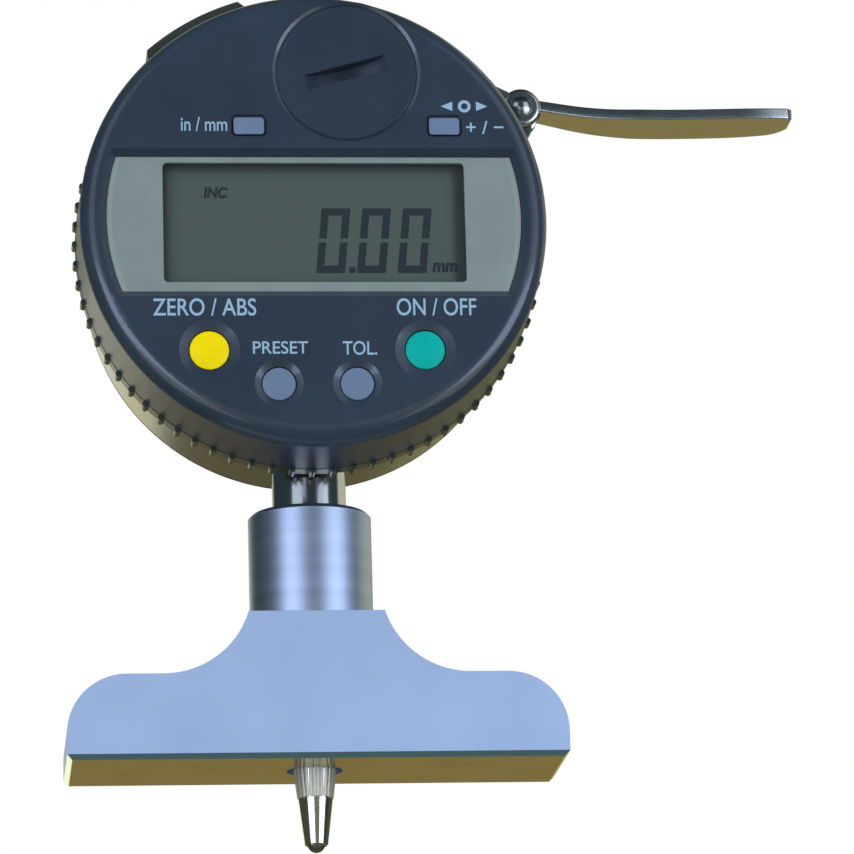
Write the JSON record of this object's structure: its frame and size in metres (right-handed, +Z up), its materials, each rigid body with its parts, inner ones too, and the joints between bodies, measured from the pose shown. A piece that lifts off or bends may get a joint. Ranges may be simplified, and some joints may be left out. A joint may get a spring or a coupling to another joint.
{
  "type": "digital depth gauge",
  "caption": "Digital depth gauge: round indicator head with display, buttons and lifting lever, clamped by its stem in an inverted-T base with a sprung ball-tipped contact.",
  "frame": {"origin": "On the measuring axis, in the plane of the base's lapped underside", "axes": "+Z up along the measuring axis, +X to the reader's right along the base and towards the lever, -Y out of the display's face"},
  "size_m": [0.0968, 0.0325, 0.1087],
  "materials": {
    "lapped_steel": "lapped and satin, fine grain",
    "turned_steel": "fine turned",
    "polished_steel": "polished",
    "steel_screw": "bright screws",
    "dark_screw": "blackened",
    "brass": "machined",
    "case_metal": "die cast, satin coated",
    "case_plastic": "moulded, fine satin",
    "housing_plastic": "moulded, smooth satin",
    "bracket_metal": "dark satin",
    "panel_silver": "fine silver",
    "window_clear": "clear",
    "lcd": "grey-green liquid-crystal glass",
    "lcd_white": "diffuser",
    "black_plastic": "moulded",
    "board_green": "solder resist",
    "rubber_black": "moulded",
    "rubber_grey": "silicone",
    "gold_plate": "gold plated",
    "cell_steel": "nickel plated",
    "button_yellow": "moulded",
    "button_green": "moulded",
    "button_grey": "moulded",
    "carbide": "polished carbide",
    "alloy": "machined",
    "scale_glass": "etched scale",
    "ribbon_amber": "polyimide"
  },
  "bodies": {
    "base": {"base_block": "lapped_steel", "clamp_collar": "turned_steel", "clamp_pad": "brass"},
    "clamp_screw": {"clamp_screw": "dark_screw"},
    "case": {"rear_case": "case_metal", "stem": "polished_steel", "lower_bush": "brass", "upper_bush": "brass", "guide_rod": "polished_steel", "detector_board": "board_green", "detector_head": "black_plastic", "detector_screws": "steel_screw", "signal_ribbon": "ribbon_amber", "swivel_retainer": "alloy", "retainer_screws": "steel_screw", "back_gasket": "rubber_black", "back_cover": "case_metal", "back_cover_screws": "steel_screw", "lever_bracket": "bracket_metal", "bracket_screws": "dark_screw", "lever_pin": "polished_steel", "return_spring": "steel_screw"},
    "display": {"front_housing": "housing_plastic", "grip_ring": "case_plastic", "display_back_plate": "alloy", "plate_screws": "steel_screw", "face_panel": "panel_silver", "window": "window_clear", "lcd_glass": "lcd", "lcd_backing": "lcd_white", "lcd_frame": "black_plastic", "contact_strips": "rubber_grey", "main_board": "board_green", "key_mat": "rubber_grey", "button_cell": "cell_steel", "cell_contact": "gold_plate", "data_socket": "black_plastic", "socket_pins": "gold_plate"},
    "connector_cover": {"connector_cover": "black_plastic"},
    "button_in_mm": {"button_in_mm": "button_grey"},
    "button_direction": {"button_direction": "button_grey"},
    "button_zero": {"button_zero": "button_yellow"},
    "button_preset": {"button_preset": "button_grey"},
    "button_tolerance": {"button_tolerance": "button_grey"},
    "button_on_off": {"button_on_off": "button_green"},
    "cap_seal": {"cap_seal": "rubber_black"},
    "battery_cap": {"battery_cap": "housing_plastic"},
    "spindle": {"spindle": "polished_steel", "contact_point": "polished_steel", "contact_ball": "carbide", "scale_carriage": "alloy", "scale_strip": "scale_glass", "lifting_collar": "steel_screw"},
    "lever": {"lift_lever": "polished_steel", "lift_finger": "steel_screw"}
  },
  "joints": [
    {"name": "head_swivel", "type": "hinge", "parent": "base", "child": "case", "pos_m": [0, 0, 0], "axis": [0, 0, 1], "range_deg": [-180, 180]},
    {"name": "clamp_screw_turn", "type": "hinge", "parent": "base", "child": "clamp_screw", "pos_m": [0, 0.0065, 0.026], "axis": [0, 1, 0], "range_deg": [0, 360]},
    {"name": "display_turn", "type": "hinge", "parent": "case", "child": "display", "pos_m": [0, -0.007, 0.0677], "axis": [0, 1, 0], "range_deg": [-165, 165]},
    {"name": "spindle_lift", "type": "slide", "parent": "case", "child": "spindle", "axis": [0, 0, 1], "range_m": [0, 0.0127], "stiffness_N_per_m": 32, "springref_m": -0.016, "deforming": ["return_spring"]},
    {"name": "lever_swing", "type": "hinge", "parent": "case", "child": "lever", "pos_m": [0.0289, 0, 0.0879], "axis": [0, 1, 0], "range_deg": [0, 25.65]},
    {"name": "connector_cover_pull", "type": "slide", "parent": "display", "child": "connector_cover", "axis": [-0.4924, 0, 0.8704], "range_m": [0, 0.006]},
    {"name": "cap_rise", "type": "slide", "parent": "display", "child": "cap_seal", "axis": [0, -1, 0], "range_m": [0, 0.002]},
    {"name": "cap_turn", "type": "hinge", "parent": "cap_seal", "child": "battery_cap", "pos_m": [0.00444, -0.02, 0.0868], "axis": [0, -1, 0], "range_deg": [0, 722]},
    {"name": "press_in_mm", "type": "slide", "parent": "display", "child": "button_in_mm", "axis": [0, 1, 0], "range_m": [0, 0.0006], "stiffness_N_per_m": 400, "springref_m": -0.001},
    {"name": "press_direction", "type": "slide", "parent": "display", "child": "button_direction", "axis": [0, 1, 0], "range_m": [0, 0.0006], "stiffness_N_per_m": 400, "springref_m": -0.001},
    {"name": "press_zero", "type": "slide", "parent": "display", "child": "button_zero", "axis": [0, 1, 0], "range_m": [0, 0.0006], "stiffness_N_per_m": 400, "springref_m": -0.001},
    {"name": "press_preset", "type": "slide", "parent": "display", "child": "button_preset", "axis": [0, 1, 0], "range_m": [0, 0.0006], "stiffness_N_per_m": 400, "springref_m": -0.001},
    {"name": "press_tolerance", "type": "slide", "parent": "display", "child": "button_tolerance", "axis": [0, 1, 0], "range_m": [0, 0.0006], "stiffness_N_per_m": 400, "springref_m": -0.001},
    {"name": "press_on_off", "type": "slide", "parent": "display", "child": "button_on_off", "axis": [0, 1, 0], "range_m": [0, 0.0006], "stiffness_N_per_m": 400, "springref_m": -0.001}
  ],
  "couplings": [
    {"joint": "lever_swing", "follows": "spindle_lift", "rad_per_m": 35.11},
    {"joint": "cap_turn", "follows": "cap_rise", "rad_per_m": 6283.2}
  ]
}
